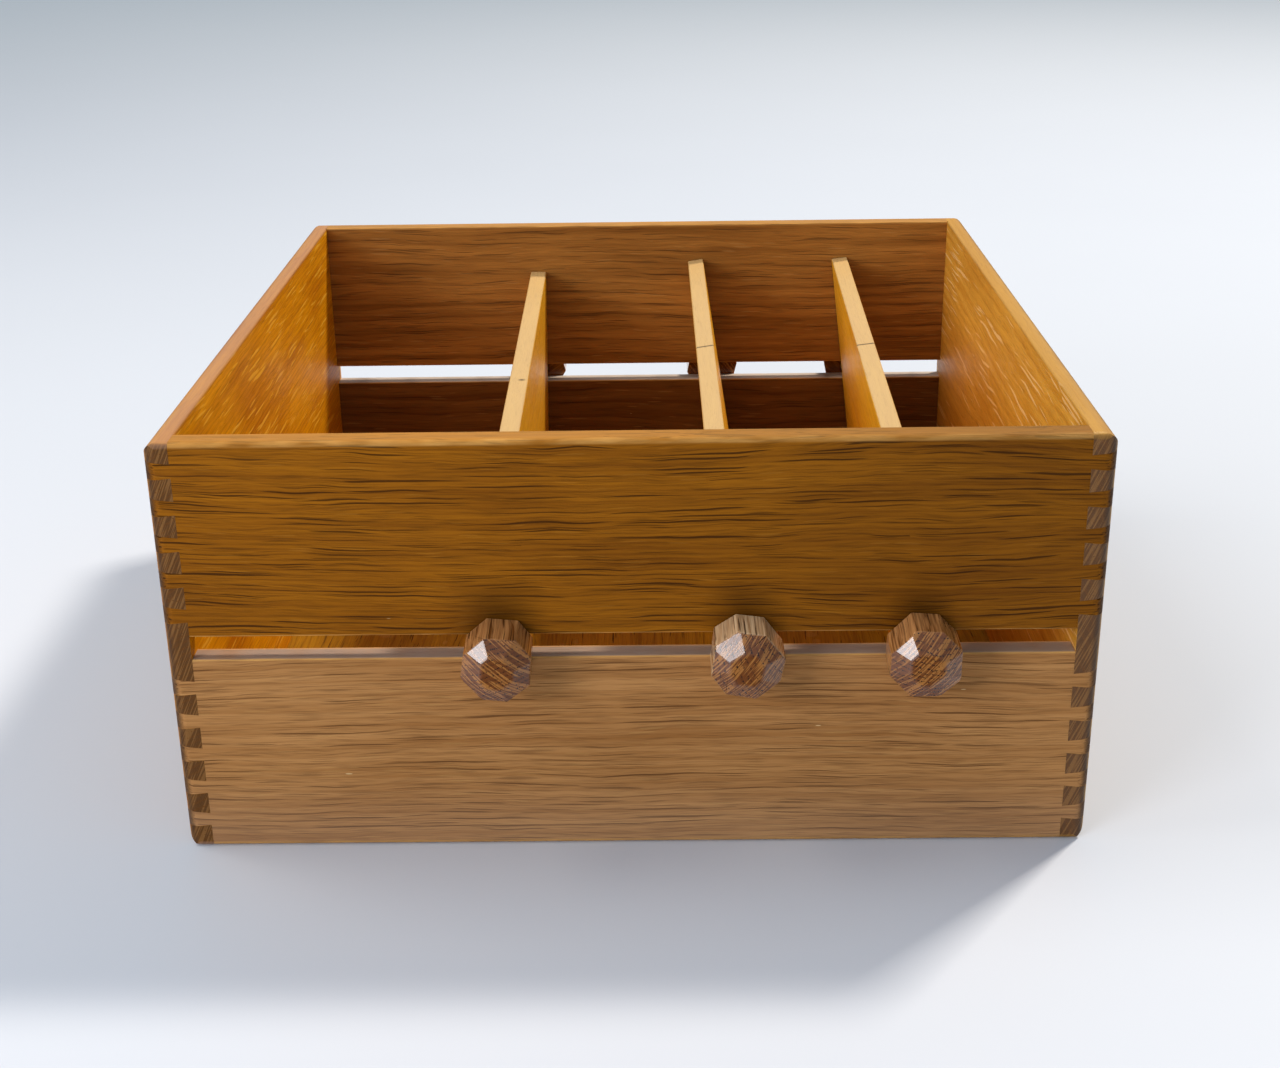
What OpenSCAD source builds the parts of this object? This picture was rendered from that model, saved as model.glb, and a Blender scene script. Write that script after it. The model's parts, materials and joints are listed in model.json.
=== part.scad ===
// Document organizer: an open dovetailed oak box for papers. Its front and back are each two boards
// with a slot between them. Three dividers stand front to back inside. A stud in each end of a
// divider passes through the slot into a carved knob, so that a divider can slide, lean and be clamped.
// Millimetres, +Z up, origin on the floor under the middle of the box, front towards -Y.

/* [Box] */
// Outer width of the box, left to right
box_w = 340; // [280:1:420]
// Outer depth of the box, front to back
box_d = 343.5; // [280:0.5:420]
// Thickness of the side boards
side_t = 9.5; // [7:0.5:14]
// Thickness of the front and back boards
front_t = 9.5; // [7:0.5:14]
// Height of the lower front and back boards
lower_h = 79; // [74:0.5:100]
// Height of the slots in the front and back
slot_h = 9; // [7:0.5:14]
// Height of the upper front and back boards
upper_h = 74.5; // [60:0.5:100]
// Radius of the upright outer corners
corner_r = 5; // [1:0.5:6]
// Radius of the sides' outer edges at the rim and the foot
side_rim_r = 6; // [1.5:0.5:6.5]
// Radius of the front's and back's outer edges at the rim and the foot
front_rim_r = 2.5; // [1.5:0.5:5]
// Radius of the hand-eased inner edges
ease_r = 0.8; // [0.3:0.1:1.2]

/* [Dovetails] */
// Whole pins in the corner of each upper and each lower board
pin_count = 4; // [2:1:5]
// Width of a pin at the outer face of the side
pin_w = 6.8; // [4:0.2:7.6]
// Slope of a pin's flanks, which spread towards the inside
pin_slope = 0.1; // [0.04:0.01:0.14]
// Height of the half pin at the rim
rim_pin = 7; // [4:0.5:10]
// Height of the half pin at the foot
foot_pin = 8.5; // [4:0.5:10]
// How far the slot pin laps over the upper boards
slot_pin_up = 5; // [2:0.5:8]
// How far the slot pin laps over the lower boards
slot_pin_down = 8; // [2:0.5:10]
// Thickness of the glue line between boards
glue_gap = 0.05; // [0.02:0.01:0.15]

/* [Bottom panel] */
// Thickness of the bottom panel
panel_t = 5; // [3:0.5:8]
// Height of the panel's underside above the floor
panel_lift = 4; // [3:0.5:10]
// Depth of the grooves that hold the panel
groove_d = 4; // [2:0.5:5]
// Room for the panel to swell at the bottom of each groove
panel_play = 0.3; // [0.1:0.1:0.8]

/* [Dividers] */
// Thickness of a divider
divider_t = 8; // [7:0.5:12]
// Height of a divider
divider_h = 118; // [90:1:126]
// Height of the studs from the middle of a divider
stud_offset = 3; // [0:0.5:6]
// Least gap between a divider's end and the board that it slides along
divider_end_gap = 0.4; // [0.2:0.1:2]
// Furthest that a divider leans to either side
lean_limit = 12; // [5:1:15]
// Left wall to the axis of the left divider
left_room = 110.2; // [60:0.1:130]
// Axis of the middle divider to the axis of the right divider
middle_room = 68.5; // [50:0.1:80]
// Axis of the right divider to the right wall
right_room = 51.8; // [30:0.1:60]
// Lean of the left divider, top to the right
left_lean = 1; // [-12:0.1:12]
// Lean of the middle divider, top to the right
middle_lean = -8.5; // [-12:0.1:12]
// Lean of the right divider, top to the right
right_lean = -6.7; // [-12:0.1:12]
// Skew of the left divider, back end to the left
left_skew = 0.7; // [-2:0.05:2]
// Skew of the middle divider, back end to the left
middle_skew = 0.2; // [-2:0.05:2]
// Skew of the right divider, back end to the left
right_skew = -1.35; // [-2:0.05:2]

/* [Studs and inserts] */
// Diameter of a stud
stud_d = 5; // [4:0.5:6]
// How far the clamped studs sag below the middle of the slots
stud_sag = 1; // [0:0.1:1.5]
// Length of a stud inside its divider
stud_grip = 25; // [15:1:40]
// Running clearance around a stud or an insert, on the radius
run_gap = 0.05; // [0.02:0.01:0.1]
// Outer diameter of a threaded insert
insert_d = 8; // [7:0.5:10]
// Length of a threaded insert
insert_len = 12; // [8:0.5:16]
// Width of the groove around the middle of an insert
insert_groove_w = 2; // [1:0.5:4]
// Depth of the groove around the middle of an insert
insert_groove_d = 0.5; // [0.2:0.1:0.8]
// Room beyond a stud's end in its knob
stud_room = 2; // [1:0.5:4]

/* [Knobs] */
// Size of the left knobs across their flats
left_knob_af = 24.4; // [18:0.2:28]
// Size of the middle knobs across their flats
middle_knob_af = 25.2; // [18:0.2:28]
// Size of the right knobs across their flats
right_knob_af = 25.2; // [18:0.2:28]
// Length of the left knobs' straight sides
left_knob_side = 18.5; // [16:0.5:26]
// Length of the middle knobs' straight sides
middle_knob_side = 17; // [16:0.5:26]
// Length of the right knobs' straight sides
right_knob_side = 17.5; // [16:0.5:26]
// Size of the flat front end across its flats
knob_face_af = 15.5; // [6:0.5:16]
// Angle of the bevels around the front end
knob_bevel = 34; // [10:1:40]
// Least gap between a clamped knob and its board
knob_gap = 0.3; // [0.1:0.1:1]
// Unevenness of the carved flats
carve_depth = 0.35; // [0:0.05:0.6]
// Unevenness of the carved flats' directions
carve_angle = 2.5; // [0:0.5:4]

/* [Hidden] */
$fn = 64;
// Overshoot of cuts past the faces they open
over = 1;
// Flats around a knob
flats = 8;
flat_step = 360 / flats;

box_h = lower_h + slot_h + upper_h;
inner_w = box_w - 2 * side_t;
inner_d = box_d - 2 * front_t;
slot_top = lower_h + slot_h;
stud_z = lower_h + slot_h / 2 - stud_sag;

// Heights of the pins at the outer face: a half pin at the foot and the rim, one across the slot,
// and an even row on each board
function pin_row(low, high) =
    let (tail = (high - low - pin_count * pin_w) / (pin_count + 1))
    [for (i = [0:pin_count - 1]) let (z = low + tail + i * (tail + pin_w)) [z, z + pin_w]];
pin_spans = concat(
    [[-over, foot_pin]],
    pin_row(foot_pin, lower_h - slot_pin_down),
    [[lower_h - slot_pin_down, slot_top + slot_pin_up]],
    pin_row(slot_top + slot_pin_up, box_h - rim_pin),
    [[box_h - rim_pin, box_h + over]]
);

// The three dividers, left to right
PLACES = ["left", "middle", "right"];
right_x = inner_w / 2 - right_room;
divider_x = [left_room - inner_w / 2, right_x - middle_room, right_x];
lean = [left_lean, middle_lean, right_lean];
skew = [left_skew, middle_skew, right_skew];
// The left divider hangs the other way up, with its studs above the middle
stud_shift = [-stud_offset, stud_offset, stud_offset];

// The dividers are cut to one length, which clears the boards at the largest skew and lean
most_skew = max([for (s = skew) abs(s)]);
divider_sweep = (divider_h / 2 + stud_offset) * sin(lean_limit) + divider_t / 2;
divider_len = 2 * ((inner_d / 2 - divider_end_gap) / cos(most_skew) - divider_sweep * tan(most_skew));

// Knob sizes: the bevels start at the edge of the flat front end
knob_af = [left_knob_af, middle_knob_af, right_knob_af];
knob_side = [left_knob_side, middle_knob_side, right_knob_side];
knob_corner_r = (max(knob_af) / 2 + carve_depth) / cos(flat_step / 2 + carve_angle);
function knob_len(i) = knob_side[i] + (knob_af[i] - knob_face_af) / 2 * tan(knob_bevel);
// Angles at which the clamped knobs came to rest, seen from outside, front then back
knob_turn = [[-6, 31], [-9, 12], [-1, -14]];

// Distance from a divider's middle to the back of its knob, along the skewed stud
function knob_seat(i) = (box_d / 2 + knob_gap + knob_corner_r * sin(abs(skew[i]))) / cos(skew[i]);
// Small even spread of values between -1 and 1, for the carver's hand
function hand(seed, i) = sin(seed * 71 + i * 137);
// Direction and distance of each flat around a knob, and the corner between two neighbours
function flat_dir(seed, n) = n * flat_step + 90 + carve_angle * hand(seed, n);
function flat_dist(af, seed, n) = af / 2 + carve_depth * hand(seed + 3, n % flats);
function flat_corner(af, seed, n) =
    let (a = flat_dir(seed, n), b = flat_dir(seed, n + 1))
    let (p = flat_dist(af, seed, n), q = flat_dist(af, seed, n + 1))
    [p * sin(b) - q * sin(a), q * cos(a) - p * cos(b)] / sin(b - a);

// Rectangle with round corners, about the middle
module rounded_rect(w, h, r) {
    square([w - 2 * r, h], center = true);
    square([w, h - 2 * r], center = true);
    for (x = [-1, 1], y = [-1, 1]) translate([x * (w / 2 - r), y * (h / 2 - r)]) circle(r);
}

// Bar along X with eased long edges, about the middle
module eased_bar(len, depth, height) {
    rotate([90, 0, 90])
        linear_extrude(len, center = true) rounded_rect(depth, height, ease_r);
}

// Outside of the box with its rounded corners, rim and foot
module box_outside() {
    intersection() {
        translate([0, 0, -over]) linear_extrude(box_h + 2 * over) rounded_rect(box_w, box_d, corner_r);
        translate([0, 0, box_h / 2]) rotate([90, 0, 0])
            linear_extrude(box_d + 2 * over, center = true) rounded_rect(box_w, box_h, side_rim_r);
        translate([0, 0, box_h / 2]) rotate([90, 0, 90])
            linear_extrude(box_w + 2 * over, center = true) rounded_rect(box_d, box_h, front_rim_r);
    }
}

// Pins of the front left corner, from before the front face to the front board's inner face
module left_pins(grow) {
    reach = side_t + grow;
    translate([-box_w / 2, front_t + grow - box_d / 2, 0]) rotate([90, 0, 0])
        linear_extrude(front_t + grow + over)
            for (span = pin_spans) {
                low = span[0] - grow;
                high = span[1] + grow;
                polygon([
                    [-over, low + pin_slope * over],
                    [reach, low - pin_slope * reach],
                    [reach, high + pin_slope * reach],
                    [-over, high - pin_slope * over]
                ]);
            }
}

// Space of the bottom panel: the panel itself at no growth, its grooves at a growth
module panel_space(reach, grow) {
    translate([-inner_w / 2 - reach, -inner_d / 2 - reach, panel_lift - grow])
        cube([inner_w + 2 * reach, inner_d + 2 * reach, panel_t + 2 * grow]);
}

// Front board between two heights, with the tails of both corners and its share of the groove
module front_board(low, high) {
    difference() {
        intersection() {
            box_outside();
            translate([0, (front_t - box_d) / 2, (low + high) / 2]) eased_bar(box_w, front_t, high - low);
        }
        left_pins(glue_gap);
        mirror([1, 0, 0]) left_pins(glue_gap);
        panel_space(groove_d, glue_gap);
    }
}

// Left side board with the pins of its two corners
module left_board() {
    difference() {
        intersection() {
            box_outside();
            union() {
                translate([(side_t - box_w) / 2, 0, box_h / 2]) rotate([0, 0, 90])
                    eased_bar(inner_d, side_t, box_h);
                left_pins(0);
                mirror([0, 1, 0]) left_pins(0);
            }
        }
        panel_space(groove_d, glue_gap);
    }
}

module front_upper_board() { color("#8b5e28") front_board(slot_top, box_h); }
module front_lower_board() { color("#a0703a") front_board(0, lower_h); }
module back_upper_board() { color("#8b5e28") mirror([0, 1, 0]) front_board(slot_top, box_h); }
module back_lower_board() { color("#a0703a") mirror([0, 1, 0]) front_board(0, lower_h); }
module left_side() { color("#b87818") left_board(); }
module right_side() { color("#b8823c") mirror([1, 0, 0]) left_board(); }
module bottom_panel() { color("#8c5c20") panel_space(groove_d - panel_play, 0); }

// Middle of a divider's stud line, with the skewed line along Y
module on_stud_line(i) {
    translate([divider_x[i], 0, stud_z]) rotate([0, 0, skew[i]]) children();
}

// Front or back end of a stud line, with +Z outwards along the stud and +Y up
module at_stud_end(i, back) {
    on_stud_line(i) rotate([0, 0, back * 180]) rotate([90, 0, 0]) children();
}

// Divider: a board with eased long edges and a bore for a stud in each end
module divider(i) {
    color("#d8a860") difference() {
        on_stud_line(i) rotate([0, lean[i], 0]) translate([0, 0, stud_shift[i]]) rotate([0, 0, 90])
            eased_bar(divider_len, divider_t, divider_h);
        for (back = [0, 1]) at_stud_end(i, back) translate([0, 0, divider_len / 2 - stud_grip - run_gap])
            cylinder(d = stud_d + 2 * run_gap, h = stud_grip + run_gap + over);
    }
}

// Stud: from inside the divider, through the slot, to the end of the insert
module stud(i, back) {
    start = divider_len / 2 - stud_grip;
    color("#b4b4b0") at_stud_end(i, back) translate([0, 0, start])
        cylinder(d = stud_d, h = knob_seat(i) + insert_len - start);
}

// Threaded insert: a brass sleeve with a groove around its middle
module insert(i, back) {
    color("#c8a850") at_stud_end(i, back) translate([0, 0, knob_seat(i)]) difference() {
        cylinder(d = insert_d, h = insert_len);
        translate([0, 0, -over]) cylinder(d = stud_d + 2 * run_gap, h = insert_len + 2 * over);
        translate([0, 0, (insert_len - insert_groove_w) / 2]) difference() {
            cylinder(d = insert_d + 2 * over, h = insert_groove_w);
            cylinder(d = insert_d - 2 * insert_groove_d, h = insert_groove_w);
        }
    }
}

// Block that is cut to the bevels around a knob's front end
module bevelled_block(len, seed) {
    block = 3 * knob_corner_r;
    difference() {
        translate([-block / 2, -block / 2, -over]) cube([block, block, len + 2 * over]);
        for (n = [0:flats - 1])
            rotate([0, 0, flat_dir(seed, n)])
                translate([knob_face_af / 2 + carve_depth * hand(seed + 5, n), 0, len])
                    rotate([0, knob_bevel, 0])
                        translate([-block / 2, -block / 2, 0]) cube([2 * block, block, block]);
    }
}

// Knob: an eight-sided carved block with a bevel from each side to the flat front end
module knob(i, back) {
    seed = 2 * i + back;
    bore = stud_d / 2 + run_gap;
    color("#7a4e26") at_stud_end(i, back) translate([0, 0, knob_seat(i)]) difference() {
        rotate([0, 0, knob_turn[i][back]]) intersection() {
            linear_extrude(knob_len(i)) polygon([for (n = [0:flats - 1]) flat_corner(knob_af[i], seed, n)]);
            bevelled_block(knob_len(i), seed);
        }
        translate([0, 0, -over]) cylinder(d = insert_d + 2 * run_gap, h = insert_len + run_gap + over);
        cylinder(r = bore, h = insert_len + stud_room);
    }
}

front_upper_board();
front_lower_board();
back_upper_board();
back_lower_board();
left_side();
right_side();
bottom_panel();
for (i = [0:2]) {
    divider(i);
    stud(i, 0);
    stud(i, 1);
    insert(i, 0);
    insert(i, 1);
    knob(i, 0);
    knob(i, 1);
}
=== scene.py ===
"""Looks of the document organizer: an oak box with slotted ends, leaning dividers and carved knobs."""

from __future__ import annotations

import json
import logging
import math
from dataclasses import dataclass, field, replace
from enum import Enum
from typing import Any, Callable, Iterable, Sequence, Union

import bmesh
import bpy
from mathutils import Matrix, Vector


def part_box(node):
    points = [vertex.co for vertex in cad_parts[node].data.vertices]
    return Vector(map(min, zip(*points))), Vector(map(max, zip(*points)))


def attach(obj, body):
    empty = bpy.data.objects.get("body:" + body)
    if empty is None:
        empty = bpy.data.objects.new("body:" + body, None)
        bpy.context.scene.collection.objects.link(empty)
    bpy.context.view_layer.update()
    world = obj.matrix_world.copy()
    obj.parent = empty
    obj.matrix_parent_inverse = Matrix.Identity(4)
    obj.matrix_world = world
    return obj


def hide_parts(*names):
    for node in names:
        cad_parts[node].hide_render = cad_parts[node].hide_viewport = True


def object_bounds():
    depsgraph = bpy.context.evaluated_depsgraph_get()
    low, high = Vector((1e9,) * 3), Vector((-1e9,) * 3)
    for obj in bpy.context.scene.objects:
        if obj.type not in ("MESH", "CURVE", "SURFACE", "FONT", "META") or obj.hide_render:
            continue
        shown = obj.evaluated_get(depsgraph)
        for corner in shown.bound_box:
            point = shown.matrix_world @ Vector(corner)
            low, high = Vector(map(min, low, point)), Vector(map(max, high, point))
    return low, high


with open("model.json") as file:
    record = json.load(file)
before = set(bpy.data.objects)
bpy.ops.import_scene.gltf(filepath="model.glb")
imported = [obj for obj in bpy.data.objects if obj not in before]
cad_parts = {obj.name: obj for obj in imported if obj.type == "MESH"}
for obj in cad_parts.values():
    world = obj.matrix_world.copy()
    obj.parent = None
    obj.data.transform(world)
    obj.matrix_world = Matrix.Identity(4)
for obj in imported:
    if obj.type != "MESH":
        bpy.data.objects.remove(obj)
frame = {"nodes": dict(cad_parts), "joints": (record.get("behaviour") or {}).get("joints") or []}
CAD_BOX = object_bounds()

LOG = logging.getLogger("organizer")
MM = 0.001
PER_METRE = 1000.0
RIGHT, BACK, UP = (1.0, 0.0, 0.0), (0.0, 1.0, 0.0), (0.0, 0.0, 1.0)
EVEN = 0.5  # The average of noise
FINE = 2.0  # Octaves of finer noise

# The curve of screen colours
SCREEN_TOP = 255
SCREEN_KNEE, SCREEN_SLOPE = 0.04045, 12.92
SCREEN_SHIFT, SCREEN_POWER = 0.055, 2.4

# Sockets of a Mix node for colours
MIX_SHARE, MIX_FIRST, MIX_SECOND, MIX_RESULT = 0, 6, 7, 2

Pair = tuple[float, float]
Triple = tuple[float, float, float]
Operand = Union["Value", float]
Axes = tuple["Value", "Value", "Value"]
Ring = tuple[float, Callable[[float], float]]


class Place(Enum):
    """Which divider, from left to right."""

    LEFT = "left"
    MIDDLE = "middle"
    RIGHT = "right"


class End(Enum):
    """Which end of a divider."""

    FRONT = "front"
    BACK = "back"


def tint(red: int, green: int, blue: int) -> Triple:
    """Turns a colour as seen on a screen into a linear one.

    Args:
        red: Red, from 0 to 255.
        green: Green, from 0 to 255.
        blue: Blue, from 0 to 255.

    Returns:
        The linear red, green and blue, from 0 to 1.
    """

    def linear(channel: int) -> float:
        """Turns one channel into its linear share.

        Args:
            channel: The channel, from 0 to 255.

        Returns:
            Its share, from 0 to 1.
        """
        share = channel / SCREEN_TOP
        curve = ((share + SCREEN_SHIFT) / (1 + SCREEN_SHIFT)) ** SCREEN_POWER
        return share / SCREEN_SLOPE if share <= SCREEN_KNEE else curve

    return linear(red), linear(green), linear(blue)


def joint(name: str) -> dict[str, Any]:
    """Finds a joint of the frame by its name."""
    return next(j for j in frame["joints"] if j["name"] == name)


def put_on(piece: bpy.types.Object, material: bpy.types.Material) -> None:
    """Gives a piece one material.

    Args:
        piece: The piece.
        material: Its material.
    """
    piece.data.materials.clear()
    piece.data.materials.append(material)
    LOG.info("dressed %s", piece.name)


class Value:
    """A number that varies over a surface: a socket with arithmetic, which adds Math nodes."""

    def __init__(self, shader: Shader, socket: bpy.types.NodeSocket) -> None:
        """Keeps the socket and the shader that it is part of."""
        self.shader = shader
        self.socket = socket

    def _math(self, operation: str, *inputs: Operand) -> Value:
        """Adds a Math node.

        Args:
            operation: The node's operation.
            inputs: Its inputs in order.

        Returns:
            The node's result.
        """
        node = self.shader.add("ShaderNodeMath", {"operation": operation}, dict(enumerate(inputs)))
        return Value(self.shader, node.outputs[0])

    def __add__(self, other: Operand) -> Value:
        """Adds a number to this one."""
        return self._math("ADD", self, other)

    def __radd__(self, other: Operand) -> Value:
        """Adds this number to another."""
        return self._math("ADD", other, self)

    def __sub__(self, other: Operand) -> Value:
        """Takes a number from this one."""
        return self._math("SUBTRACT", self, other)

    def __rsub__(self, other: Operand) -> Value:
        """Takes this number from another."""
        return self._math("SUBTRACT", other, self)

    def __mul__(self, other: Operand) -> Value:
        """Multiplies this number by another."""
        return self._math("MULTIPLY", self, other)

    def __rmul__(self, other: Operand) -> Value:
        """Multiplies another number by this one."""
        return self._math("MULTIPLY", other, self)

    def __truediv__(self, other: Operand) -> Value:
        """Divides this number by another."""
        return self._math("DIVIDE", self, other)

    def __abs__(self) -> Value:
        """Drops the sign."""
        return self._math("ABSOLUTE", self)

    def fract(self) -> Value:
        """Keeps the part after the decimal point."""
        return self._math("FRACT", self)

    def higher(self, other: Operand) -> Value:
        """Keeps the higher of two numbers."""
        return self._math("MAXIMUM", self, other)

    def rise(self, low: Operand, high: Operand) -> Value:
        """Goes smoothly from 0 to 1.

        Args:
            low: Where the result leaves 0.
            high: Where it reaches 1.

        Returns:
            The smooth step.
        """
        settings = {"interpolation_type": "SMOOTHSTEP"}
        sockets = {"Value": self, "From Min": low, "From Max": high}
        return Value(self.shader, self.shader.add("ShaderNodeMapRange", settings, sockets).outputs[0])

    def near(self, middle: float, reach: float) -> Value:
        """Goes smoothly from 1 at a place to 0 at a reach from it.

        Args:
            middle: The place.
            reach: How far from it the result is 0.

        Returns:
            The smooth bump.
        """
        return 1 - abs(self - middle).rise(0.0, reach)


class Shader:
    """One material and the nodes that its finish adds to it."""

    def __init__(self, name: str) -> None:
        """Makes an empty node material.

        Args:
            name: The material's name.
        """
        self.material = bpy.data.materials.new(name)
        self.material.use_nodes = True
        self.tree = self.material.node_tree
        self.tree.nodes.clear()

    def add(
        self,
        kind: str,
        settings: dict[str, Any] | None = None,
        sockets: dict[str | int, Any] | None = None,
    ) -> bpy.types.Node:
        """Adds a node.

        Args:
            kind: The node's type.
            settings: Its settings, which are set first.
            sockets: The values or links of its sockets, by name or number.

        Returns:
            The node.
        """
        node = self.tree.nodes.new(kind)
        for key, setting in (settings or {}).items():
            setattr(node, key, setting)
        for key, given in (sockets or {}).items():
            given = given.socket if isinstance(given, Value) else given
            if isinstance(given, bpy.types.NodeSocket):
                self.tree.links.new(given, node.inputs[key])
            else:
                node.inputs[key].default_value = given
        return node

    def along(self, direction: Triple) -> Value:
        """Where a point lies along a direction, in the frame's millimetres, riding with its body."""
        return self._dot("Object", direction) * PER_METRE

    def facing(self, direction: Triple) -> Value:
        """How squarely the surface faces a direction of the frame at rest: their cosine."""
        return self._dot("Normal", direction)

    def _dot(self, kind: str, direction: Triple) -> Value:
        """Measures a texture coordinate along a direction.

        Args:
            kind: The coordinate's name.
            direction: The direction.

        Returns:
            The length along it.
        """
        vector = self.add("ShaderNodeTexCoord").outputs[kind]
        node = self.add("ShaderNodeVectorMath", {"operation": "DOT_PRODUCT"}, {0: vector, 1: direction})
        return Value(self, node.outputs["Value"])

    def noise(self, axes: Sequence[Operand], detail: float = 0.0) -> Value:
        """Smooth noise with features of about one unit.

        Args:
            axes: The three coordinates.
            detail: Octaves of finer noise on it.

        Returns:
            The noise, about 0.5 on average.
        """
        vector = self.add("ShaderNodeCombineXYZ", None, dict(enumerate(axes))).outputs[0]
        sockets = {"Vector": vector, "Scale": 1.0, "Detail": detail}
        return Value(self, self.add("ShaderNodeTexNoise", None, sockets).outputs["Fac"])

    def cells(self, axes: Sequence[Operand]) -> tuple[Value, Value]:
        """Scattered points, about one in each unit cell.

        Args:
            axes: The three coordinates.

        Returns:
            The distance to the nearest point and a random number of its own.
        """
        vector = self.add("ShaderNodeCombineXYZ", None, dict(enumerate(axes))).outputs[0]
        cells = self.add("ShaderNodeTexVoronoi", None, {"Vector": vector, "Scale": 1.0})
        lot = self.add("ShaderNodeSeparateXYZ", None, {0: cells.outputs["Color"]}).outputs[0]
        return Value(self, cells.outputs["Distance"]), Value(self, lot)

    def mix(self, share: Operand, first: Any, second: Any) -> bpy.types.NodeSocket:
        """Blends two colours.

        Args:
            share: The share of the second.
            first: A colour or its socket.
            second: A colour or its socket.

        Returns:
            The blended colour.
        """
        first, second = ((*c, 1.0) if isinstance(c, tuple) else c for c in (first, second))
        sockets = {MIX_SHARE: share, MIX_FIRST: first, MIX_SECOND: second}
        return self.add("ShaderNodeMix", {"data_type": "RGBA"}, sockets).outputs[MIX_RESULT]

    def bump(self, height: Value, depth: float) -> bpy.types.NodeSocket:
        """Turns a height into a normal.

        Args:
            height: The height, from 0 to 1.
            depth: The depth of one unit of height, in millimetres.

        Returns:
            The normal.
        """
        sockets = {"Height": height, "Distance": depth * MM}
        return self.add("ShaderNodeBump", None, sockets).outputs["Normal"]

    def surface(self, **sockets: Any) -> bpy.types.Material:
        """Ends the material in one Principled shader.

        Args:
            sockets: The shader's sockets, with _ for a space in their names.

        Returns:
            The material.
        """
        named = {key.replace("_", " "): given for key, given in sockets.items()}
        shader = self.add("ShaderNodeBsdfPrincipled", None, named)
        self.add("ShaderNodeOutputMaterial", None, {"Surface": shader.outputs[0]})
        return self.material


class Sky(Shader):
    """The light all around the scene."""

    def __init__(self, name: str) -> None:
        """Makes an empty node world and puts it in the scene.

        Args:
            name: The world's name.
        """
        world = bpy.data.worlds.new(name)
        world.use_nodes = True
        bpy.context.scene.world = world
        self.tree = world.node_tree
        self.tree.nodes.clear()

    def glow(self, colour: Any) -> None:
        """Ends the world in one Background shader.

        Args:
            colour: The light's colour or its socket.
        """
        background = self.add("ShaderNodeBackground", None, {"Color": colour})
        self.add("ShaderNodeOutputWorld", None, {"Surface": background.outputs[0]})

    def towards(self, direction: Triple) -> Value:
        """How close each direction of the sky is to a given one: their cosine."""
        return self._dot("Generated", direction)


@dataclass(frozen=True)
class Streaks:
    """Noise that is drawn out along the grain. Lengths are in millimetres."""

    length: float
    rise: float
    width: float
    detail: float = 0.0

    def over(self, shader: Shader, axes: Axes) -> Value:
        """Spreads the noise over a piece.

        Args:
            shader: The piece's material.
            axes: Its places along the grain, out from the pith and around it.

        Returns:
            The noise, about 0.5 on average.
        """
        along, out, around = axes
        return shader.noise((along / self.length, out / self.rise, around / self.width), self.detail)


@dataclass(frozen=True)
class Spindles:
    """Long thin features of the wood, one to a cell. Lengths are in millimetres, girths in cells."""

    length: float
    rise: float
    width: float
    thin: float
    thick: float
    core: float = 0.65

    def over(self, shader: Shader, axes: Axes, swell: Operand = 1.0) -> Value:
        """Scatters the spindles through a piece.

        Args:
            shader: The piece's material.
            axes: Its places along the grain, out from the pith and around it.
            swell: How much thicker they are at each place.

        Returns:
            1 inside a spindle, 0 outside.
        """
        along, out, around = axes
        gap, lot = shader.cells((along / self.length, out / self.rise, around / self.width))
        girth = (lot * (self.thick - self.thin) + self.thin) * swell
        return 1 - gap.rise(girth * self.core, girth)


@dataclass(frozen=True)
class Sawing:
    """How a piece lies in the log: along the grain and out from the pith."""

    grain: Triple
    radial: Triple
    seed: float
    pith: float = 140.0

    def axes(self, shader: Shader) -> Axes:
        """Measures a piece in the log.

        Args:
            shader: The piece's material.

        Returns:
            The places along the grain, out from the pith and around it, in millimetres.
        """
        tangent = tuple(Vector(self.grain).cross(Vector(self.radial)))
        shift = self.seed * self.pith
        return shader.along(self.grain) + shift, shader.along(self.radial) + shift, shader.along(tangent)


@dataclass
class WearAndLight:
    """Where a piece has seen use, and where shade, highlights and reflections are painted on it, from 0 to
    1.
    """

    # Besides use, these carry painted shade (with the stains), a painted highlight (with the wear) and a
    # painted reflection (with the dust).
    wear_and_highlight: Operand = 0.0
    stain_and_shade: Operand = 0.0
    dust_and_reflection: Operand = 0.0


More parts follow.
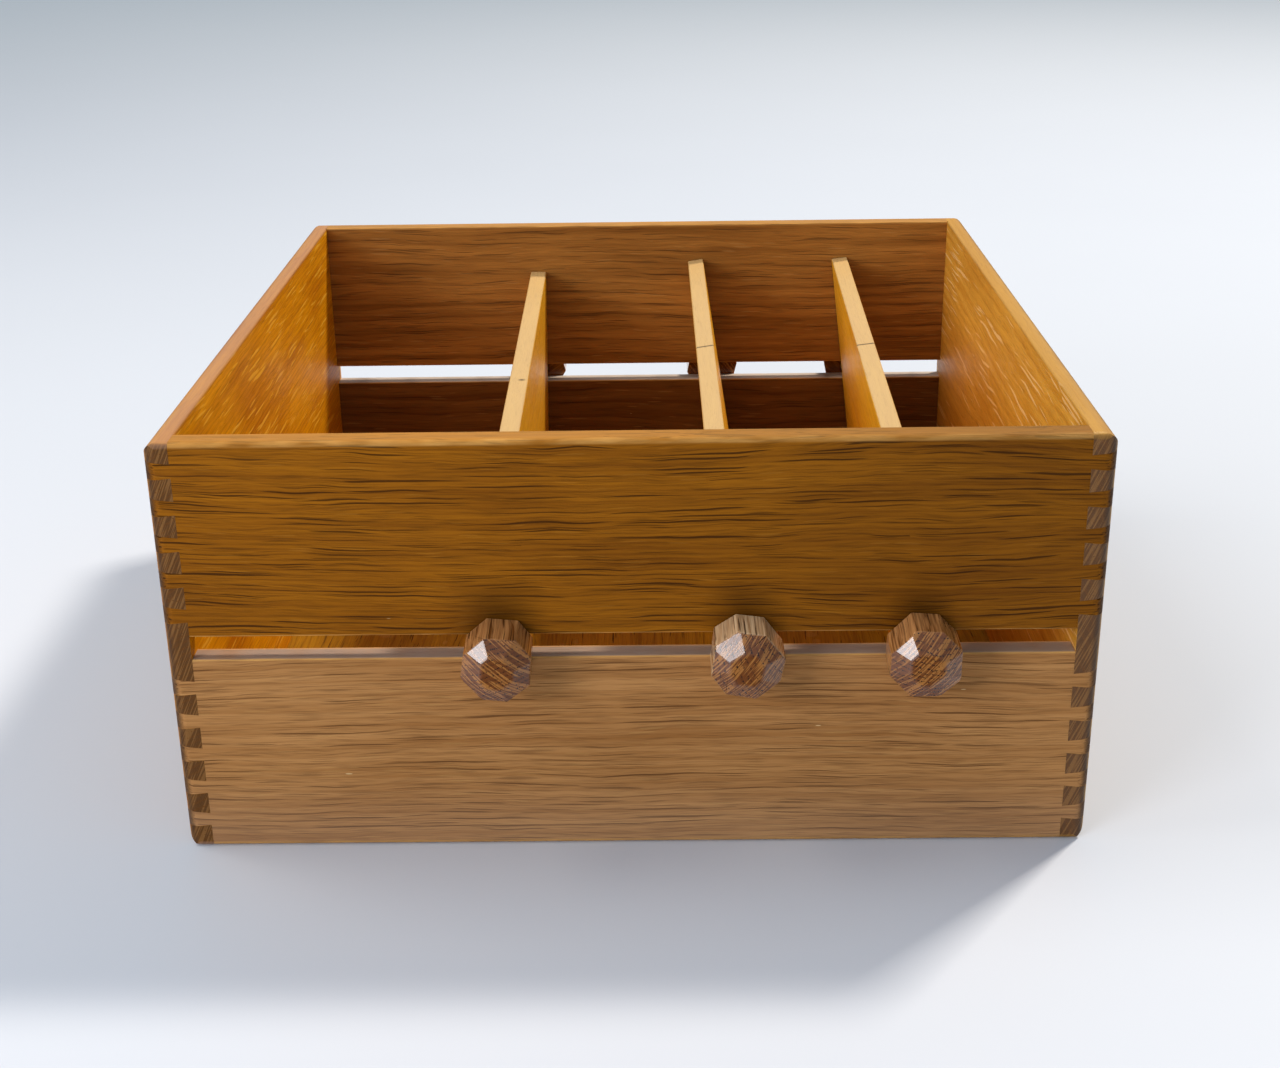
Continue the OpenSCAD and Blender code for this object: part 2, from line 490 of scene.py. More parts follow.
@dataclass(frozen=True)
class OakFinish:
    """Lacquered oak of one piece. Lengths are in millimetres."""

    pale: Triple = tint(186, 128, 60)
    brown: Triple = tint(138, 84, 30)
    pore_tint: Triple = tint(50, 26, 6)
    ray_tint: Triple = tint(206, 156, 90)
    end_tint: Triple = tint(96, 60, 26)
    end_ray_tint: Triple = tint(150, 104, 54)
    # The worn tint also paints a highlight, the dust tint a reflection and the stain tint shade.
    wear_and_highlight_tint: Triple = tint(226, 168, 92)
    nick_tint: Triple = tint(216, 184, 132)
    dust_and_reflection_tint: Triple = tint(176, 154, 138)
    stain_and_shade_tint: Triple = tint(46, 25, 6)
    ring: float = 3.4
    sway: float = 9.0
    wander: Streaks = Streaks(120.0, 50.0, 50.0)
    ripple: Streaks = Streaks(26.0, 8.0, 8.0, 1.0)
    ripple_share: float = 0.3
    lean_share: float = 0.6
    early_share: float = 0.6
    tone: float = 0.6
    pores: Spindles = Spindles(38.0, 1.3, 1.3, 0.12, 0.27)
    pore_swell: float = 0.5
    pore_dark: float = 0.85
    hairs: Spindles = Spindles(52.0, 0.85, 0.85, 0.12, 0.36)
    hair_dark: float = 0.55
    fibres: Streaks = Streaks(14.0, 0.45, 0.45, 1.0)
    fibre_rise: Pair = (0.42, 0.78)
    fibre_dark: float = 0.3
    rays: Spindles = Spindles(24.0, 20.0, 1.0, 0.1, 0.28)
    ray_light: Operand = 0.2
    ray_height: float = 0.3
    quartered: Pair = (0.6, 0.9)
    nicks: Spindles = Spindles(60.0, 10.0, 10.0, 0.0, 0.03)
    end_grain: Pair = (0.4, 0.8)
    end_rays: Streaks = Streaks(40.0, 16.0, 0.55)
    end_ray_rise: Pair = (0.46, 0.64)
    end_ray_light: float = 0.55
    bands: Streaks = Streaks(120.0, 3.5, 3.5, 2.0)
    band_depth: float = 1.3
    blotches: Streaks = Streaks(70.0, 40.0, 40.0, 1.0)
    blotch_depth: float = 0.7
    early_dark: float = 0.25
    smudges: Streaks = Streaks(35.0, 22.0, 22.0, 1.0)
    smudge_depth: float = 0.2
    relief: float = 0.16
    rough: float = 0.46
    shine: float = 0.12
    coat: Operand = 0.0
    coat_rough: float = 0.12
    coat_ior: float = 1.5
    # A pale top rim: partly wear, partly painted highlight and reflection on the tops.
    rim_wear_and_highlight: float = 0.35

    def paint(self, shader: Shader, sawing: Sawing, wear_and_light: WearAndLight) -> bpy.types.Material:
        """Fills a material with the wood.

        Args:
            shader: The material.
            sawing: How the piece lies in the log.
            wear_and_light: Where it has seen use, and where shade, highlights and reflections are painted
                on it.

        Returns:
            The material.
        """
        # The grain wanders slowly along the board and ripples a little
        along, out, around = straight = sawing.axes(shader)
        drift = (self.wander.over(shader, straight) - EVEN) * self.sway
        drift = drift + (self.ripple.over(shader, straight) - EVEN) * (self.sway * self.ripple_share)
        out = out + drift
        axes = (along, out, around + drift * self.lean_share)

        # Growth rings: open early wood that fades into dense late wood
        ring = ((out + around * around / (2 * sawing.pith)) / self.ring).fract()
        early = 1 - ring.rise(0.0, self.early_share)

        # Pores, hair lines, fine fibres and rays
        swell = early * self.pore_swell + (1 - self.pore_swell / 2)
        pore = self.pores.over(shader, axes, swell)
        hair = self.hairs.over(shader, axes, swell)
        fibre = self.fibres.over(shader, axes).rise(*self.fibre_rise)
        ray = self.rays.over(shader, axes)

        # Long grain
        tone = (self.bands.over(shader, axes) - EVEN) * self.band_depth
        tone = tone + (self.blotches.over(shader, straight) - EVEN) * self.blotch_depth
        tone = tone + (self.tone - early * self.early_dark)
        lines = (fibre * self.fibre_dark).higher(hair * self.hair_dark).higher(pore * self.pore_dark)
        wood = shader.mix(lines, shader.mix(tone, self.brown, self.pale), self.pore_tint)
        fleck = ray * (1 - abs(shader.facing(sawing.radial)).rise(*self.quartered))
        wood = shader.mix(fleck * (1 - pore) * self.ray_light, wood, self.ray_tint)

        # End grain is darker, with open pores and pale rays
        end = abs(shader.facing(sawing.grain)).rise(*self.end_grain)
        dots = shader.mix(pore * self.pore_dark + early * self.early_dark, self.end_tint, self.pore_tint)
        end_ray = self.end_rays.over(shader, straight).rise(*self.end_ray_rise)
        dots = shader.mix(end_ray * (1 - pore) * self.end_ray_light, dots, self.end_ray_tint)
        wood = shader.mix(end, wood, dots)

        # Use, with painted shade, highlights and reflections
        use_and_light = (wear_and_light.dust_and_reflection, self.dust_and_reflection_tint), (wear_and_light.wear_and_highlight, self.wear_and_highlight_tint), (wear_and_light.stain_and_shade, self.stain_and_shade_tint)
        for share, colour in use_and_light:
            if share:
                wood = shader.mix(share, wood, colour)
        wood = shader.mix(self.nicks.over(shader, straight), wood, self.nick_tint)

        smudge = self.smudges.over(shader, straight) - EVEN
        return shader.surface(
            Base_Color=wood,
            Roughness=smudge * self.smudge_depth + lines * self.smudge_depth + self.rough,
            Normal=shader.bump(ray * self.ray_height - lines, self.relief),
            Specular_IOR_Level=self.shine,
            Coat_Weight=self.coat,
            Coat_Roughness=self.coat_rough,
            Coat_IOR=self.coat_ior,
        )


@dataclass(frozen=True)
class MetalFinish:
    """Bare metal with fine turning marks. Lengths are in millimetres."""

    bright: Triple
    dull: Triple
    rough: float
    mark: float = 0.15
    mark_depth: float = 0.01
    mark_rough: float = 0.1
    blot: float = 4.0
    blot_rise: Pair = (0.35, 0.75)
    blot_rough: float = 0.2

    def paint(self, shader: Shader, axis: Triple) -> bpy.types.Material:
        """Fills a material with the metal.

        Args:
            shader: The material.
            axis: The direction that the piece was turned about.

        Returns:
            The material.
        """
        lines = shader.noise((shader.along(axis) / self.mark, 0.0, 0.0), FINE)
        blots = shader.noise([shader.along(d) / self.blot for d in (RIGHT, BACK, UP)], FINE)
        return shader.surface(
            Base_Color=shader.mix(blots.rise(*self.blot_rise), self.bright, self.dull),
            Roughness=blots * self.blot_rough + lines * self.mark_rough + self.rough,
            Normal=shader.bump(lines, self.mark_depth),
            Metallic=1.0,
        )


STEEL = MetalFinish((0.56, 0.56, 0.55), (0.36, 0.35, 0.34), 0.22)
BRASS = MetalFinish((0.74, 0.54, 0.22), (0.46, 0.31, 0.11), 0.2)


@dataclass
class Carcass:
    """The dovetailed box: two boards at each end, two sides and the bottom panel."""

    upper_oak: OakFinish = OakFinish(
        pale=tint(168, 102, 14),
        brown=tint(120, 66, 6),
        pore_tint=tint(62, 32, 4),
        ray_tint=tint(196, 130, 40),
        pores=Spindles(60.0, 1.1, 1.1, 0.18, 0.42),
        hair_dark=0.65,
        fibre_dark=0.4,
        shine=0.06,
    )
    back_upper_oak: OakFinish = OakFinish(
        pale=tint(180, 120, 52),
        brown=tint(132, 82, 30),
        dust_and_reflection_tint=tint(232, 216, 200),
        pores=Spindles(44.0, 0.9, 0.9, 0.12, 0.3),
        pore_dark=0.65,
        band_depth=1.8,
        sway=7.0,
    )
    # Painted shade: the lower back board is the upper back board's oak painted darker, for the shade low
    # inside the box.
    back_lower_shaded_oak: OakFinish = replace(back_upper_oak, pale=tint(136, 90, 42), brown=tint(102, 60, 22))
    bottom_oak: OakFinish = OakFinish(pale=tint(184, 132, 26), brown=tint(138, 90, 14))
    lower_oak: OakFinish = OakFinish(
        pale=tint(194, 139, 82),
        brown=tint(158, 104, 52),
        pore_tint=tint(96, 58, 26),
        ring=4.6,
        sway=6.0,
        pores=Spindles(60.0, 1.0, 1.0, 0.14, 0.36),
        pore_dark=0.8,
        hair_dark=0.6,
        fibre_dark=0.45,
    )
    left_oak: OakFinish = OakFinish(
        pale=tint(236, 160, 8),
        brown=tint(186, 108, 4),
        pore_tint=tint(120, 66, 4),
        ray_tint=tint(248, 190, 64),
        wear_and_highlight_tint=tint(172, 129, 100),
        rays=Spindles(40.0, 12.0, 0.9, 0.16, 0.42),
        ray_light=0.6,
        rim_wear_and_highlight=0.7,
        pore_dark=0.35,
        hair_dark=0.25,
        blotch_depth=1.4,
    )
    right_oak: OakFinish = OakFinish(
        pale=tint(230, 172, 66),
        brown=tint(196, 131, 30),
        pore_tint=tint(120, 70, 20),
        ray_tint=tint(250, 208, 140),
        wear_and_highlight_tint=tint(182, 133, 58),
        rays=Spindles(80.0, 12.0, 0.9, 0.16, 0.4),
        ray_light=0.65,
        rim_wear_and_highlight=0.7,
        pore_dark=0.35,
        hair_dark=0.25,
        shine=0.3,
    )
    rift_turn: float = 35.0
    quarter_turn: float = 66.0
    edge_rise: Pair = (0.05, 0.4)
    edge_wear: float = 0.75
    chips: Pair = (18.0, 3.0)
    chip_rise: Pair = (0.1, 0.8)
    rim_reach: float = 1.5
    corner_rise: Pair = (0.2, 0.5)
    corner_dark: float = 0.5
    shelf_reach: float = 0.6
    shelf_rise: Pair = (0.6, 0.9)
    shelf_dust: float = 0.85
    # Painted highlight along the inner edge of the slot's lower face.
    lit_strip_reach: float = 2.2
    dust_rise: Pair = (0.0, 0.6)
    # Painted reflection of the floor, low on the lower front board.
    foot_reflection: float = 0.16
    foot_reach: float = 34.0
    outside_rise: Pair = (0.3, 0.8)
    outside_dark: float = 0.4
    outside_calm: float = 0.75
    # Painted shade: the front boards grow darker to the right, the lower one also warmer.
    right_shade: float = 0.32
    lower_shade: float = 0.08
    # The dark patch above each knob: partly hand grime, partly painted shadow of the knob.
    halo_size: Pair = (0.9, 0.8)
    knob_grime_and_shadow: float = 0.65

    def boards(self) -> Iterable[tuple[str, OakFinish, Sawing]]:
        """Gives each board with its oak and how it was sawn.

        Yields:
            A board's node, finish and sawing.
        """
        rift_turn, quarter_turn = math.radians(self.rift_turn), math.radians(self.quarter_turn)
        rift = (0.0, math.sin(rift_turn), math.cos(rift_turn))
        quarter = (math.cos(quarter_turn), 0.0, math.sin(quarter_turn))
        sawn = (
            ("front_upper_board", self.upper_oak, RIGHT, rift),
            ("front_lower_board", self.lower_oak, RIGHT, rift),
            ("back_upper_board", self.back_upper_oak, RIGHT, rift),
            ("back_lower_board", self.back_lower_shaded_oak, RIGHT, rift),
            ("left_side", self.left_oak, BACK, quarter),
            ("right_side", self.right_oak, BACK, quarter),
            ("bottom_panel", self.bottom_oak, BACK, RIGHT),
        )
        for seed, (name, oak, grain, radial) in enumerate(sawn, start=1):
            yield name, oak, Sawing(grain, radial, float(seed))

    def dress(self) -> None:
        """Gives each board its wood, with a pale top rim that is partly wear and partly painted highlight,
        and the sides darker with calmer flecks outside.
        """
        for name, oak, sawing in self.boards():
            shader = Shader(name)
            wear_and_light = self.wear_and_light(shader, name, sawing)
            if name.endswith("side"):
                # The sides are darker on their outer faces, with calmer flecks there.
                outside = self.outside(shader, name)
                wear_and_light.stain_and_shade = wear_and_light.stain_and_shade.higher(outside * self.outside_dark)
                oak = replace(oak, ray_light=(1 - outside * self.outside_calm) * oak.ray_light)
            # A pale band along the top rims: partly wear, partly painted highlight and reflection on the
            # tops.
            rim = shader.along(UP).near(CAD_BOX[1].z * PER_METRE, self.rim_reach) * oak.rim_wear_and_highlight
            wear_and_light.wear_and_highlight = wear_and_light.wear_and_highlight.higher(rim)
            put_on(frame["nodes"][name], oak.paint(shader, sawing, wear_and_light))

    def wear_and_light(self, shader: Shader, name: str, sawing: Sawing) -> WearAndLight:
        """Finds where a board is rubbed pale along its edges, darker on its upright corners and dusty in
        the slots, and where shade, a highlight and a floor reflection are painted on it.

        Args:
            shader: The board's material.
            name: The board's node.
            sawing: How the board lies in the log.

        Returns:
            The wear and painted light of the board.
        """
        across, deep, up = (shader.facing(d) for d in (RIGHT, BACK, UP))
        height = shader.along(UP)
        chip_length, chip_height = self.chips
        chip_place = (shader.along(sawing.grain) / chip_length, height / chip_height, 0.0)
        chips = shader.noise(chip_place, FINE)
        edge = (abs(deep * up) + abs(across * up)).rise(*self.edge_rise)
        slot_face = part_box("front_lower_board")[1].z * PER_METRE
        shelf = height.near(slot_face, self.shelf_reach) * up.rise(*self.shelf_rise)
        wear_and_light = WearAndLight(
            wear_and_highlight=edge * chips.rise(*self.chip_rise) * self.edge_wear,
            dust_and_reflection=shelf * chips.rise(*self.dust_rise) * self.shelf_dust,
            # Darker on the rounded upright corners.
            stain_and_shade=abs(across * deep).rise(*self.corner_rise) * self.corner_dark,
        )
        if name == "front_upper_board":
            # Painted shade on the upper front board: darker to the right and above the knobs, there partly
            # hand grime.
            wear_and_light.stain_and_shade = wear_and_light.stain_and_shade.higher(self.grime_and_shade(shader))
        elif name == "front_lower_board":
            # Painted highlight: a pale strip along the inner edge of the slot's lower face, where light
            # falls in.
            lit_strip = shader.along(BACK).near(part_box(name)[1].y * PER_METRE, self.lit_strip_reach)
            wear_and_light.wear_and_highlight = wear_and_light.wear_and_highlight.higher(shelf * lit_strip)
            # Painted reflection of the floor: a pale greyish haze low on the lower front board.
            wear_and_light.dust_and_reflection = wear_and_light.dust_and_reflection.higher(height.near(0.0, self.foot_reach) * self.foot_reflection)
            # Painted shade: the lower front board grows darker and warmer to the right.
            wear_and_light.stain_and_shade = wear_and_light.stain_and_shade.higher(self.shade(shader) * self.lower_shade)
        return wear_and_light

    def outside(self, shader: Shader, name: str) -> Value:
        """Where a side faces out of the box."""
        outwards = math.copysign(1.0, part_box(name)[1].x)
        return (shader.facing(RIGHT) * outwards).rise(*self.outside_rise)

    def shade(self, shader: Shader) -> Value:
        """How far to the right a front board is, from 0 to 1, for the painted shade that grows to the
        right.
        """
        reach = CAD_BOX[1].x * PER_METRE
        return shader.along(RIGHT).rise(-reach / 2, reach)

    def grime_and_shade(self, shader: Shader) -> Value:
        """Paints shade on the front board: darker to the right, and a dark patch above each knob that is
        partly hand grime and partly painted shadow of the knob.

        Args:
            shader: The board's material.

        Returns:
            Where the board is painted dark.
        """
        x, z = shader.along(RIGHT), shader.along(UP)
        # Painted shade that grows to the right.
        dark = self.shade(shader) * self.right_shade
        halo_width, halo_height = self.halo_size
        # Above each knob a dark patch: partly hand grime, partly painted shadow of the knob.
        for place in Place:
            low, high = (corner * PER_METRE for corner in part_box(f"{place.value}_front_knob"))
            wide = high.x - low.x
            halo = x.near((low.x + high.x) / 2, wide * halo_width) * z.near(high.z, wide * halo_height)
            dark = dark.higher(halo * self.knob_grime_and_shadow)
        return dark


@dataclass
class Divider:
    """One divider, which leans about its studs."""

    place: Place
    oak: OakFinish = OakFinish(
        pale=tint(246, 186, 42),
        brown=tint(220, 150, 18),
        end_tint=tint(176, 128, 76),
        end_ray_tint=tint(214, 172, 120),
        pore_tint=tint(140, 86, 26),
        wear_and_highlight_tint=tint(208, 173, 122),
        pores=Spindles(36.0, 0.9, 0.9, 0.1, 0.3),
        pore_dark=0.5,
        hair_dark=0.3,
        fibre_dark=0.4,
        rough=0.38,
        shine=0.3,
    )
    edge_pale: float = 0.85
    edge_rise: Pair = (0.3, 0.8)
    first_seed: float = 11.0
    line_y: float = 3.0
    line_reach: float = 1.4
    dot_x: float = -47.7
    dot_y: float = -26.0
    dot_reach: float = 2.2

    def dress(self) -> None:
        """Gives the divider its wood, with the grain along its studs and a paler top edge."""
        name = f"{self.place.value}_divider"
        lean = joint(f"{self.place.value}_lean")
        grain = Vector(lean["axis"])
        low, high = lean["range_deg"]
        turn = Matrix.Rotation(math.radians(-(low + high) / 2), 3, grain)
        radial = tuple(turn @ Vector(UP))
        sawing = Sawing(tuple(grain), radial, self.first_seed + list(Place).index(self.place))
        shader = Shader(name)
        wear_and_highlight = abs(shader.facing(radial)).rise(*self.edge_rise) * self.edge_pale
        wear_and_light = WearAndLight(wear_and_highlight=wear_and_highlight, stain_and_shade=self.marks(shader, wear_and_highlight))
        put_on(frame["nodes"][name], self.oak.paint(shader, sawing, wear_and_light))

    def marks(self, shader: Shader, top: Value) -> Value:
        """Draws the mark on the top edge: a dot on the left divider, a line across the others.

        Args:
            shader: The divider's material.
            top: Where the top edge is.

        Returns:
            Where the mark is.
        """
        x, y = shader.along(RIGHT), shader.along(BACK)
        if self.place is Place.LEFT:
            return y.near(self.dot_y, self.dot_reach) * x.near(self.dot_x, self.dot_reach) * top
        return y.near(self.line_y, self.line_reach) * top


@dataclass(frozen=True)
class Shaft:
    """The middle line of a clamp: where it starts and which way is outwards."""

    start: Vector
    outwards: Vector

    def point(self, height: float, radius: float, angle: float) -> Vector:
        """Finds a point beside the line.

        Args:
            height: How far along the line it lies.
            radius: How far from the line.
            angle: At which angle around it.

        Returns:
            The point.
        """
        side = self.outwards.cross(Vector(UP)).normalized()
        rise = side.cross(self.outwards)
        spoke = side * math.cos(angle) + rise * math.sin(angle)
        return self.start + self.outwards * height + spoke * radius

    def reach(self, node: str) -> tuple[float, float, float]:
        """Measures a node of the frame.

        Args:
            node: The node's name.

        Returns:
            Its lowest and highest place along the line and its largest radius.
        """
        offsets = [v.co - self.start for v in frame["nodes"][node].data.vertices]
        heights = [offset.dot(self.outwards) for offset in offsets]
        return min(heights), max(heights), max(offset.cross(self.outwards).length for offset in offsets)

    def turned(self, rings: Sequence[Ring], steps: int, loop: bool) -> bmesh.types.BMesh:
        """Makes a surface around the line.

        Args:
            rings: For each ring its height and its radius at each angle.
            steps: The number of points in a ring.
            loop: Whether the last ring joins the first. Otherwise both ends are closed.

        Returns:
            The mesh.
        """
        mesh = bmesh.new()
        angles = [math.tau * step / steps for step in range(steps)]
        grid = [[mesh.verts.new(self.point(h, radius(a), a)) for a in angles] for h, radius in rings]
        for low, high in zip(grid, grid[1:] + grid[:1] if loop else grid[1:]):
            for step in range(steps):
                after = (step + 1) % steps
                mesh.faces.new((low[step], low[after], high[after], high[step]))
        if not loop:
            mesh.faces.new(grid[0])
            mesh.faces.new(grid[-1])
        bmesh.ops.recalc_face_normals(mesh, faces=mesh.faces)
        return mesh


@dataclass
class Clamp:
    """One clamp at the end of a divider: the carved knob, its brass insert and the threaded stud."""

    place: Place
    end: End
    oak: OakFinish = OakFinish(
        pale=tint(206, 146, 90),
        brown=tint(112, 62, 24),
        pore_tint=tint(48, 22, 4),
        end_tint=tint(112, 58, 12),
        end_ray_tint=tint(190, 126, 58),
        pores=Spindles(30.0, 0.8, 0.8, 0.2, 0.42),
        bands=Streaks(50.0, 0.8, 0.8, 1.0),
        band_depth=2.4,
        end_rays=Streaks(30.0, 9.0, 0.5),
        ring=2.2,
        pore_swell=1.0,
        early_dark=0.3,
        end_ray_light=0.65,
        rough=0.35,
        shine=0.1,
        coat_rough=0.16,
        coat_ior=1.6,
    )
    pale_oak: tuple[Triple, Triple] = (tint(242, 206, 162), tint(188, 142, 98))
    coat: float = 1.0
    flat_coat: float = 0.1
    flat_rise: Pair = (0.88, 0.99)
    pith: float = 40.0
    first_seed: float = 21.0
    ray_turns: tuple[float, ...] = (-40.0, 52.0, 48.0)
    bevel_cut: float = 1.2
    bevel_lean: Pair = (0.5, 0.95)
    arris: float = 0.4
    arris_steps: int = 2
    front_round: float = 1.4
    front_steps: int = 4
    weld: float = 0.001
    flat_angle: float = 0.5
    crease_angle: float = 18.0
    smooth_angle: float = 11.0
    thread_pitch: float = 0.8
    thread_depth: float = 0.45
    thread_steps: int = 5
    thread_sides: int = 20
    knurls: int = 40
    knurl_depth: float = 0.25
    insert_lead: float = 0.5
    groove_depth: float = 1.0
    groove_half: float = 1.0
    shaft: Shaft = field(init=False)

    def __post_init__(self) -> None:
        """Finds the clamp's middle line."""
        turn = joint(self.name("turn"))
        self.shaft = Shaft(Vector(turn["pos_m"]), Vector(turn["axis"]).normalized())

    def name(self, piece: str) -> str:
        """The node's name of one of the clamp's pieces."""
        return f"{self.place.value}_{self.end.value}_{piece}"

    def build(self) -> None:
        """Makes the three pieces in place of their plain nodes."""
        axis = tuple(self.shaft.outwards)
        self.add("knob", self.carve_knob(), self.name("knob"), self.paint_knob())
        insert_metal = BRASS.paint(Shader(self.name("insert")), axis)
        self.add("insert", self.turn_insert(), self.name("insert"), insert_metal)
        stud_metal = STEEL.paint(Shader(self.name("stud")), axis)
        self.add("stud", self.cut_thread(), f"{self.place.value}_studs", stud_metal)

    def add(self, piece: str, mesh: bmesh.types.BMesh, body: str, material: bpy.types.Material) -> None:
        """Puts a new piece in place of its node.

        Args:
            piece: Which of the clamp's pieces it is.
            mesh: Its shape in the frame.
            body: The body that it rides on.
            material: Its finish.
        """
        data = bpy.data.meshes.new(f"{self.name(piece)}_made")
        mesh.to_mesh(data)
        mesh.free()
        made = bpy.data.objects.new(data.name, data)
        bpy.context.scene.collection.objects.link(made)
        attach(made, body)
        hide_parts(self.name(piece))
        put_on(made, material)

    def carve_knob(self) -> bmesh.types.BMesh:
        """Carves the knob: deeper bevels, a soft rounding around its flat front end, then eased arrises.

        Returns:
            The knob's mesh.
        """
        mesh = bmesh.new()
        mesh.from_mesh(frame["nodes"][self.name("knob")].data)
        angles = (self.flat_angle, self.crease_angle, self.smooth_angle)
        flat, crease, smooth = (math.radians(a) for a in angles)
        bmesh.ops.remove_doubles(mesh, verts=mesh.verts, dist=self.weld * MM)
        bmesh.ops.dissolve_limit(mesh, angle_limit=flat, verts=mesh.verts, edges=mesh.edges)
        self.cut_bevels(mesh)
        front = max(mesh.faces, key=lambda f: f.calc_center_median().dot(self.shaft.outwards))
        self.soften(mesh, list(front.edges), self.front_round, self.front_steps)
        bore = self.shaft.reach(self.name("insert"))[2] + self.arris * MM
        start, axis = self.shaft.start, self.shaft.outwards
        outer = {v for v in mesh.verts if (v.co - start).cross(axis).length > bore}
        sharp = [e for e in mesh.edges if outer.issuperset(e.verts) and e.calc_face_angle(0.0) > crease]
        self.soften(mesh, sharp, self.arris, self.arris_steps)
        facet = (self.front_round * MM) ** 2
        for face in mesh.faces:
            face.smooth = face.calc_area() < facet
        for edge in mesh.edges:
            edge.smooth = edge.calc_face_angle(0.0) < smooth
        return mesh

    def cut_bevels(self, mesh: bmesh.types.BMesh) -> None:
        """Cuts each bevel around the front end a little deeper.

        Args:
            mesh: The knob's mesh.
        """
        low, high = self.bevel_lean
        bevels = [f for f in mesh.faces if low < f.normal.dot(self.shaft.outwards) < high]
        planes = [(f.calc_center_median(), f.normal.copy()) for f in bevels]
        for middle, normal in planes:
            geometry = [*mesh.verts, *mesh.edges, *mesh.faces]
            point = middle - normal * self.bevel_cut * MM
            cut = bmesh.ops.bisect_plane(
                mesh, geom=geometry, plane_co=point, plane_no=normal, clear_outer=True
            )
            rim = [e for e in cut["geom_cut"] if isinstance(e, bmesh.types.BMEdge)]
            bmesh.ops.contextual_create(mesh, geom=rim)
            mesh.normal_update()

    @staticmethod
    def soften(mesh: bmesh.types.BMesh, edges: list[bmesh.types.BMEdge], reach: float, steps: int) -> None:
        """Rounds some edges of a mesh.

        Args:
            mesh: The mesh.
            edges: Its edges.
            reach: How far the rounding reaches, in millimetres.
            steps: The number of facets across it.
        """
        bmesh.ops.bevel(mesh, geom=edges, offset=reach * MM, segments=steps, profile=0.5, affect="EDGES")

    def paint_knob(self) -> bpy.types.Material:
        """Paints the knob: end grain at the front and a glossy lacquer, duller on the flat end.

        Returns:
            The material.
        """
        axis = self.shaft.outwards
        number = list(Place).index(self.place)
        seed = self.first_seed + number * len(End) + list(End).index(self.end)
        side = axis.cross(Vector(UP)).normalized()
        radial = tuple(Matrix.Rotation(math.radians(self.ray_turns[number]), 3, axis) @ side)
        shader = Shader(self.name("knob"))
        flat = shader.facing(tuple(axis)).rise(*self.flat_rise)
        oak = replace(self.oak, coat=flat * (self.flat_coat - self.coat) + self.coat)
        if self.place is Place.MIDDLE:
            oak = replace(oak, pale=self.pale_oak[0], brown=self.pale_oak[1])
        return oak.paint(shader, Sawing(tuple(axis), radial, seed, self.pith), WearAndLight())

    def turn_insert(self) -> bmesh.types.BMesh:
        """Turns the insert: a knurled sleeve with a plain groove and a bore.

        Returns:
            The insert's mesh.
        """
        low, high, radius = self.shaft.reach(self.name("insert"))
        bore = self.shaft.reach(self.name("stud"))[2]
        lead, groove = self.insert_lead * MM, radius - self.groove_depth * MM
        tooth = math.tau / self.knurls

        def knurled(angle: float) -> float:
            """The radius of the knurls at an angle."""
            return radius - self.knurl_depth * MM * (round(2 * angle / tooth) % 2)

        middle, half = (low + high) / 2, self.groove_half * MM
        rings = [(low, lambda a: radius - lead), (low + lead, knurled), (middle - half, knurled)]
        rings += [(middle - half, lambda a: groove), (middle + half, lambda a: groove)]
        rings += [(middle + half, knurled), (high - lead, knurled), (high, lambda a: radius - lead)]
        rings += [(high, lambda a: bore), (low, lambda a: bore)]
        return self.shaft.turned(rings, 2 * self.knurls, True)

    def cut_thread(self) -> bmesh.types.BMesh:
        """Cuts a thread along the whole stud, with tapered ends.

        Returns:
            The stud's mesh.
        """
        low, high, radius = self.shaft.reach(self.name("stud"))
        pitch, depth = self.thread_pitch * MM, self.thread_depth * MM
        count = round((high - low) / pitch * self.thread_steps)

        def ring(height: float) -> Ring:
            """Shapes the thread at one height.

            Args:
                height: The height along the stud.

            Returns:
                The ring there.
            """
            end_cut = max(0.0, 1 - min(height - low, high - height) / pitch)

            def thread(angle: float) -> float:
                """The radius of the thread at an angle."""
                turn = (height / pitch - angle / math.tau) % 1
                return radius - depth * max(end_cut, abs(2 * turn - 1))

            return height, thread

        heights = [low + (high - low) * step / count for step in range(count + 1)]
        return self.shaft.turned([ring(h) for h in heights], self.thread_sides, False)


@dataclass
class Lamp:
    """A soft rectangular lamp."""

    name: str
    place: Triple
    aim: Triple
    size: Pair
    power: float
    colour: Triple = (1.0, 1.0, 1.0)

    def build(self) -> None:
        """Hangs the lamp and turns it to its aim."""
        light = bpy.data.lights.new(self.name, "AREA")
        light.shape = "RECTANGLE"
        light.size, light.size_y = self.size
        light.energy = self.power
        light.color = self.colour
        lamp = bpy.data.objects.new(self.name, light)
        lamp.location = self.place
        lamp.rotation_euler = (Vector(self.aim) - Vector(self.place)).to_track_quat("-Z", "Y").to_euler()
        bpy.context.scene.collection.objects.link(lamp)


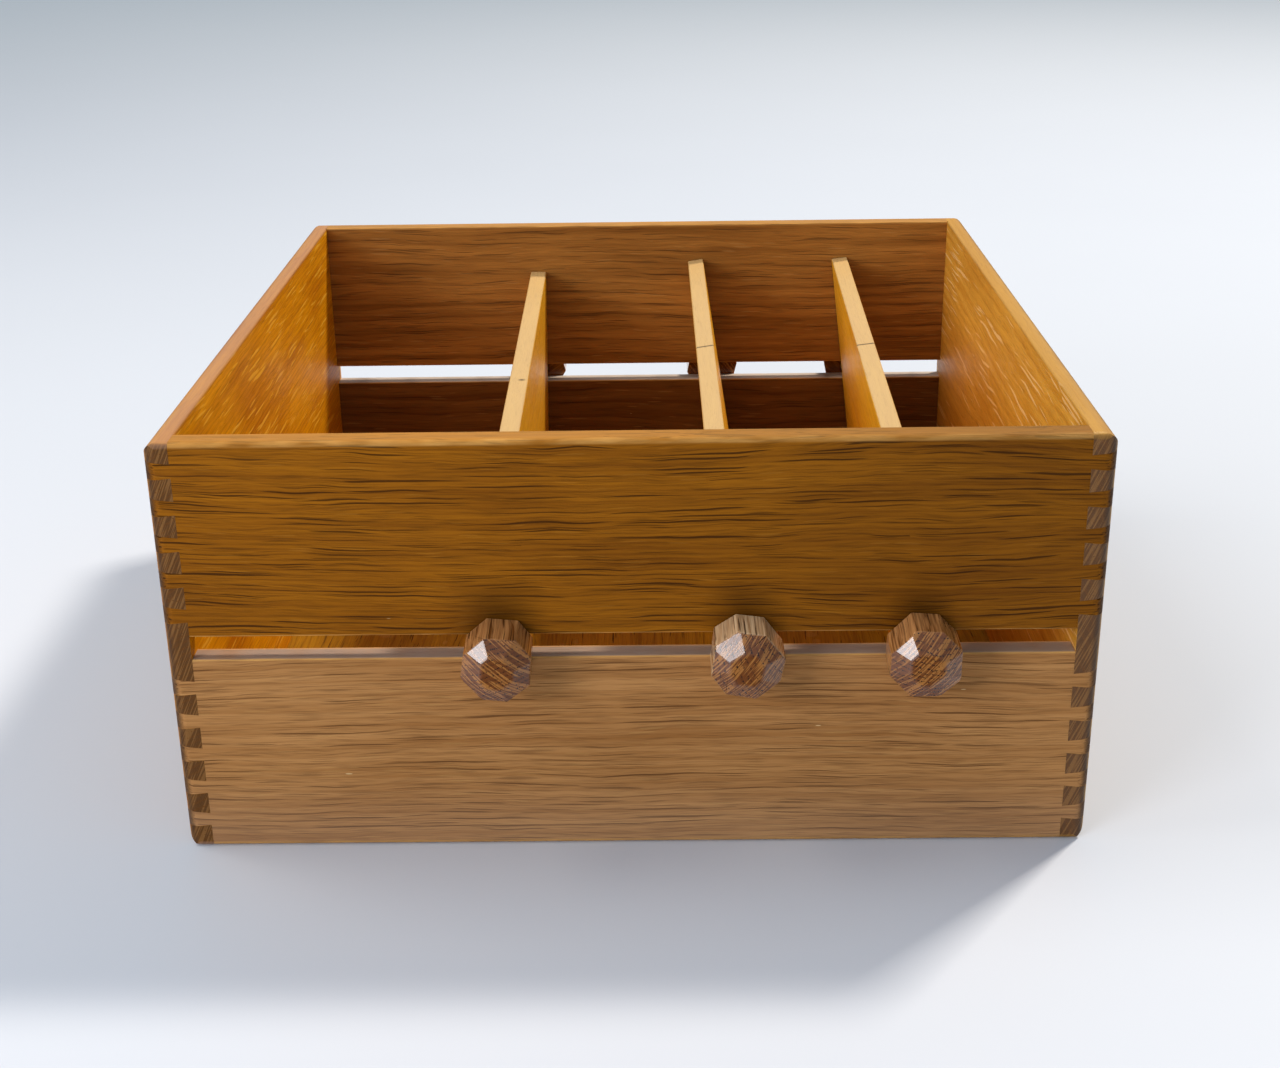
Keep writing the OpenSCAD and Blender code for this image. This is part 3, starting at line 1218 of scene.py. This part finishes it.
@dataclass
class Studio:
    """The camera, the floor and the lights."""

    eye: Triple = (0.00957, -0.76137, 0.36856)
    turn: Triple = (67.702, 0.742, 0.308)
    lens: float = 50.75
    sensor: float = 36.0
    floor_half: float = 6.0
    floor_tint: Triple = tint(212, 216, 226)
    cloud_tint: Triple = tint(209, 213, 223)
    # Painted light: the floor grows paler far back.
    far_light_tint: Triple = tint(240, 241, 244)
    far_reach: Pair = (900.0, 3400.0)
    floor_cloud: float = 300.0
    floor_rough: float = 0.55
    sky_bright: Triple = (0.4, 0.48, 0.55)
    sky_dim: Triple = (0.15, 0.19, 0.23)
    sky_side: Triple = (-0.7, -0.4, 0.59)
    sky_rise: Pair = (-1.0, 1.0)
    lamps: tuple[Lamp, ...] = (
        Lamp("key", (1.4, 1.2, 2.4), (0.0, 0.0, 0.1), (0.36, 0.36), 76.0, (1.0, 0.92, 0.8)),
        Lamp("window", (-1.14, -1.27, 0.68), (0.0, -0.1, 0.1), (0.7, 0.5), 12.0, (0.97, 0.97, 1.0)),
        Lamp("left_fill", (-0.9, 0.0, 1.4), (0.1, 0.0, 0.1), (0.8, 0.8), 9.0, (1.0, 0.92, 0.8)),
    )

    def build(self) -> None:
        """Sets up everything around the object."""
        self.build_camera()
        self.build_floor()
        self.build_sky()
        for lamp in self.lamps:
            lamp.build()

    def build_camera(self) -> None:
        """Puts the camera at the photograph's viewing angle."""
        data = bpy.data.cameras.new("camera")
        data.lens = self.lens
        data.sensor_width = self.sensor
        camera = bpy.data.objects.new("camera", data)
        camera.location = self.eye
        camera.rotation_euler = tuple(math.radians(a) for a in self.turn)
        bpy.context.scene.collection.objects.link(camera)
        bpy.context.scene.camera = camera

    def build_floor(self) -> None:
        """Lays the plain pale floor, painted paler towards the back as painted light."""
        mesh = bpy.data.meshes.new("floor")
        half = self.floor_half
        corners = [(-half, -half, 0), (half, -half, 0), (half, half, 0), (-half, half, 0)]
        mesh.from_pydata(corners, [], [(0, 1, 2, 3)])
        floor = bpy.data.objects.new("floor", mesh)
        bpy.context.scene.collection.objects.link(floor)
        shader = Shader("floor")
        cloud = shader.noise([shader.along(d) / self.floor_cloud for d in (RIGHT, BACK, UP)], FINE)
        near_tint = shader.mix(cloud, self.floor_tint, self.cloud_tint)
        # Painted light: the floor grows paler towards the back, evening out the lamps' falloff.
        colour = shader.mix(shader.along(BACK).rise(*self.far_reach), near_tint, self.far_light_tint)
        put_on(floor, shader.surface(Base_Color=colour, Roughness=self.floor_rough))

    def build_sky(self) -> None:
        """Surrounds the scene with pale light, brighter on one side."""
        sky = Sky("sky")
        bright = sky.towards(self.sky_side).rise(*self.sky_rise)
        sky.glow(sky.mix(bright, self.sky_dim, self.sky_bright))


def main() -> None:
    """Builds the scene and dresses the object."""
    logging.basicConfig(level=logging.INFO, format="%(name)s: %(message)s")
    bpy.context.scene.view_settings.view_transform = "Standard"
    Studio().build()
    Carcass().dress()
    for place in Place:
        Divider(place).dress()
        for end in End:
            Clamp(place, end).build()


if __name__ == "__main__":
    main()
